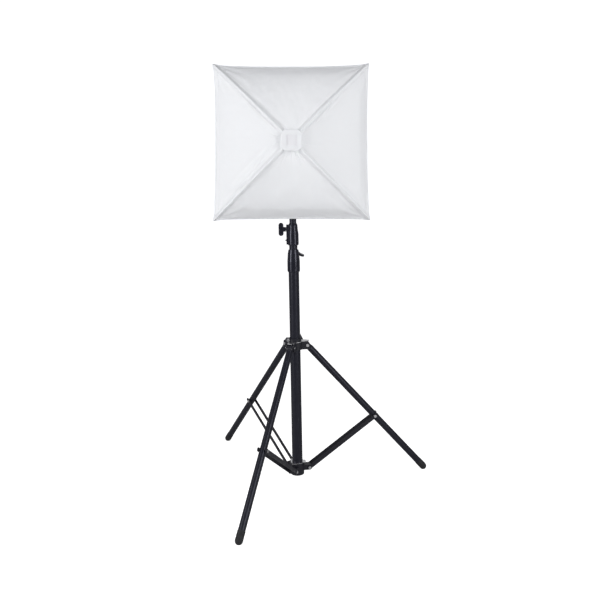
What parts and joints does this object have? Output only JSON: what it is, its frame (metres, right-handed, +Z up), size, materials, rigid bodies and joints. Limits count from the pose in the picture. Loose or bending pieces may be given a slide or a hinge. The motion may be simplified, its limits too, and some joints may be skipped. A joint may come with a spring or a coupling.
{
  "type": "studio softbox on stand",
  "caption": "Square softbox with a domed white front cover on ribs and a centre hub, tilting on a telescopic tripod light stand with strutted legs.",
  "frame": {"origin": "centre of the flat lower face of the column's bottom plug, on the column's axis", "axes": "+Z up the column, the softbox faces -Y, +X to its right as seen from the front"},
  "size_m": [0.7791, 0.8351, 1.4682],
  "materials": {
    "black_tube": "satin black",
    "black_casting": "satin black",
    "black_bar": "satin black",
    "black_plastic": "fine matt black",
    "bright_steel": "bright zinc",
    "rubber": "matt black",
    "switch_plastic": "gloss black",
    "socket_plastic": "satin white",
    "brass_cap": "bright",
    "lamp_glass": "opal white",
    "ring_casting": "satin",
    "spring_rod": "drawn",
    "white_fabric": "woven white",
    "white_tape": "ribbed white",
    "hub_plastic": "satin white"
  },
  "bodies": {
    "column": {"lower_column_tube": "black_tube", "column_bottom_plug": "black_plastic", "middle_lock_collar": "black_plastic", "spreader_hub": "black_casting", "spreader_hub_plate": "bright_steel", "spreader_pins": "bright_steel"},
    "middle_knob": {"middle_lock_knob": "black_plastic", "middle_lock_screw": "bright_steel"},
    "leg_carriage": {"leg_hub": "black_casting", "leg_hub_plate": "bright_steel", "leg_hub_pins": "bright_steel", "leg_hub_bolt": "bright_steel"},
    "leg_carriage_knob": {"leg_hub_knob": "black_plastic", "leg_hub_screw": "bright_steel"},
    "middle_section": {"middle_tube": "black_tube", "middle_tube_guide": "black_plastic", "top_lock_collar": "black_plastic"},
    "top_knob": {"top_lock_knob": "black_plastic", "top_lock_screw": "bright_steel"},
    "top_section": {"top_tube": "black_tube", "top_tube_guide": "black_plastic", "spigot": "bright_steel"},
    "bracket": {"tilt_bracket": "black_casting", "tilt_bolt": "bright_steel"},
    "bracket_knob": {"bracket_clamp_knob": "black_plastic"},
    "tilt_lock": {"tilt_lever": "black_plastic"},
    "head": {"lamp_holder_body": "black_plastic", "rear_cover": "black_plastic", "power_inlet": "black_plastic", "lamp_socket": "socket_plastic", "lamp_cap": "brass_cap", "lamp_base": "socket_plastic", "lamp_tubes": "lamp_glass", "rod_ring": "ring_casting", "softbox_rods": "spring_rod", "softbox_sides": "white_fabric", "rim_tape": "white_tape", "front_cover": "white_fabric", "front_ribs": "spring_rod", "front_hub": "hub_plastic"},
    "switch": {"power_switch": "switch_plastic"},
    "leg_1": {"leg_1_tube": "black_tube", "leg_1_top_fitting": "black_casting", "leg_1_strut_pin": "bright_steel", "leg_1_foot": "rubber"},
    "strut_1": {"strut_1_bars": "black_bar", "strut_1_rivets": "bright_steel"},
    "leg_2": {"leg_2_tube": "black_tube", "leg_2_top_fitting": "black_casting", "leg_2_strut_pin": "bright_steel", "leg_2_foot": "rubber"},
    "strut_2": {"strut_2_bars": "black_bar", "strut_2_rivets": "bright_steel"},
    "leg_3": {"leg_3_tube": "black_tube", "leg_3_top_fitting": "black_casting", "leg_3_strut_pin": "bright_steel", "leg_3_foot": "rubber"},
    "strut_3": {"strut_3_bars": "black_bar", "strut_3_rivets": "bright_steel"}
  },
  "joints": [
    {"name": "legs_fold", "type": "slide", "parent": "column", "child": "leg_carriage", "axis": [0, 0, 1], "range_m": [0, 0.2241]},
    {"name": "middle_section_slide", "type": "slide", "parent": "column", "child": "middle_section", "axis": [0, 0, 1], "range_m": [0, 0.64]},
    {"name": "top_section_slide", "type": "slide", "parent": "middle_section", "child": "top_section", "axis": [0, 0, 1], "range_m": [0, 0.64]},
    {"name": "middle_knob_turn", "type": "hinge", "parent": "column", "child": "middle_knob", "pos_m": [0.0122, 0.02741, 0.795], "axis": [0.4067, 0.9135, 0], "range_deg": [0, 270]},
    {"name": "top_knob_turn", "type": "hinge", "parent": "middle_section", "child": "top_knob", "pos_m": [-0.03, 0, 0.889], "axis": [-1, 0, 0], "range_deg": [0, 270]},
    {"name": "leg_knob_turn", "type": "hinge", "parent": "leg_carriage", "child": "leg_carriage_knob", "pos_m": [0.01172, 0.02762, 0.489], "axis": [0.3907, 0.9205, 0], "range_deg": [0, 270]},
    {"name": "head_pan", "type": "hinge", "parent": "top_section", "child": "bracket", "pos_m": [0, 0, 1.06], "axis": [0, 0, 1], "continuous": true},
    {"name": "head_tilt", "type": "hinge", "parent": "bracket", "child": "head", "pos_m": [0, 0, 1.113], "axis": [1, 0, 0], "range_deg": [-75, 45]},
    {"name": "bracket_knob_turn", "type": "hinge", "parent": "bracket", "child": "bracket_knob", "pos_m": [0.03, 0, 1.063], "axis": [1, 0, 0], "range_deg": [0, 270]},
    {"name": "tilt_lever_turn", "type": "hinge", "parent": "bracket", "child": "tilt_lock", "pos_m": [0.02, 0, 1.113], "axis": [1, 0, 0], "range_deg": [-60, 60]},
    {"name": "switch_rock", "type": "hinge", "parent": "head", "child": "switch", "pos_m": [0, 0.0595, 1.209], "axis": [1, 0, 0], "range_deg": [-8, 8]},
    {"name": "leg_1_fold", "type": "hinge", "parent": "leg_carriage", "child": "leg_1", "pos_m": [0.04264, 0.00554, 0.4675], "axis": [-0.1288, 0.9917, 0], "range_deg": [0, 42]},
    {"name": "strut_1_fold", "type": "hinge", "parent": "column", "child": "strut_1", "pos_m": [0.04264, 0.00554, 0.025], "axis": [0.1288, -0.9917, 0], "range_deg": [0, 55.53]},
    {"name": "leg_2_fold", "type": "hinge", "parent": "leg_carriage", "child": "leg_2", "pos_m": [-0.02612, 0.03416, 0.4675], "axis": [-0.7944, -0.6074, 0], "range_deg": [0, 42]},
    {"name": "strut_2_fold", "type": "hinge", "parent": "column", "child": "strut_2", "pos_m": [-0.02612, 0.03416, 0.025], "axis": [0.7944, 0.6074, 0], "range_deg": [0, 55.53]},
    {"name": "leg_3_fold", "type": "hinge", "parent": "leg_carriage", "child": "leg_3", "pos_m": [-0.01653, -0.0397, 0.4675], "axis": [0.9232, -0.3843, 0], "range_deg": [0, 42]},
    {"name": "strut_3_fold", "type": "hinge", "parent": "column", "child": "strut_3", "pos_m": [-0.01653, -0.0397, 0.025], "axis": [-0.9232, 0.3843, 0], "range_deg": [0, 55.53]}
  ],
  "couplings": [
    {"joint": "leg_1_fold", "follows": "legs_fold", "rad_per_m": 3.271},
    {"joint": "strut_1_fold", "follows": "legs_fold", "rad_per_m": 4.3251},
    {"joint": "leg_2_fold", "follows": "legs_fold", "rad_per_m": 3.271},
    {"joint": "strut_2_fold", "follows": "legs_fold", "rad_per_m": 4.3251},
    {"joint": "leg_3_fold", "follows": "legs_fold", "rad_per_m": 3.271},
    {"joint": "strut_3_fold", "follows": "legs_fold", "rad_per_m": 4.3251}
  ]
}
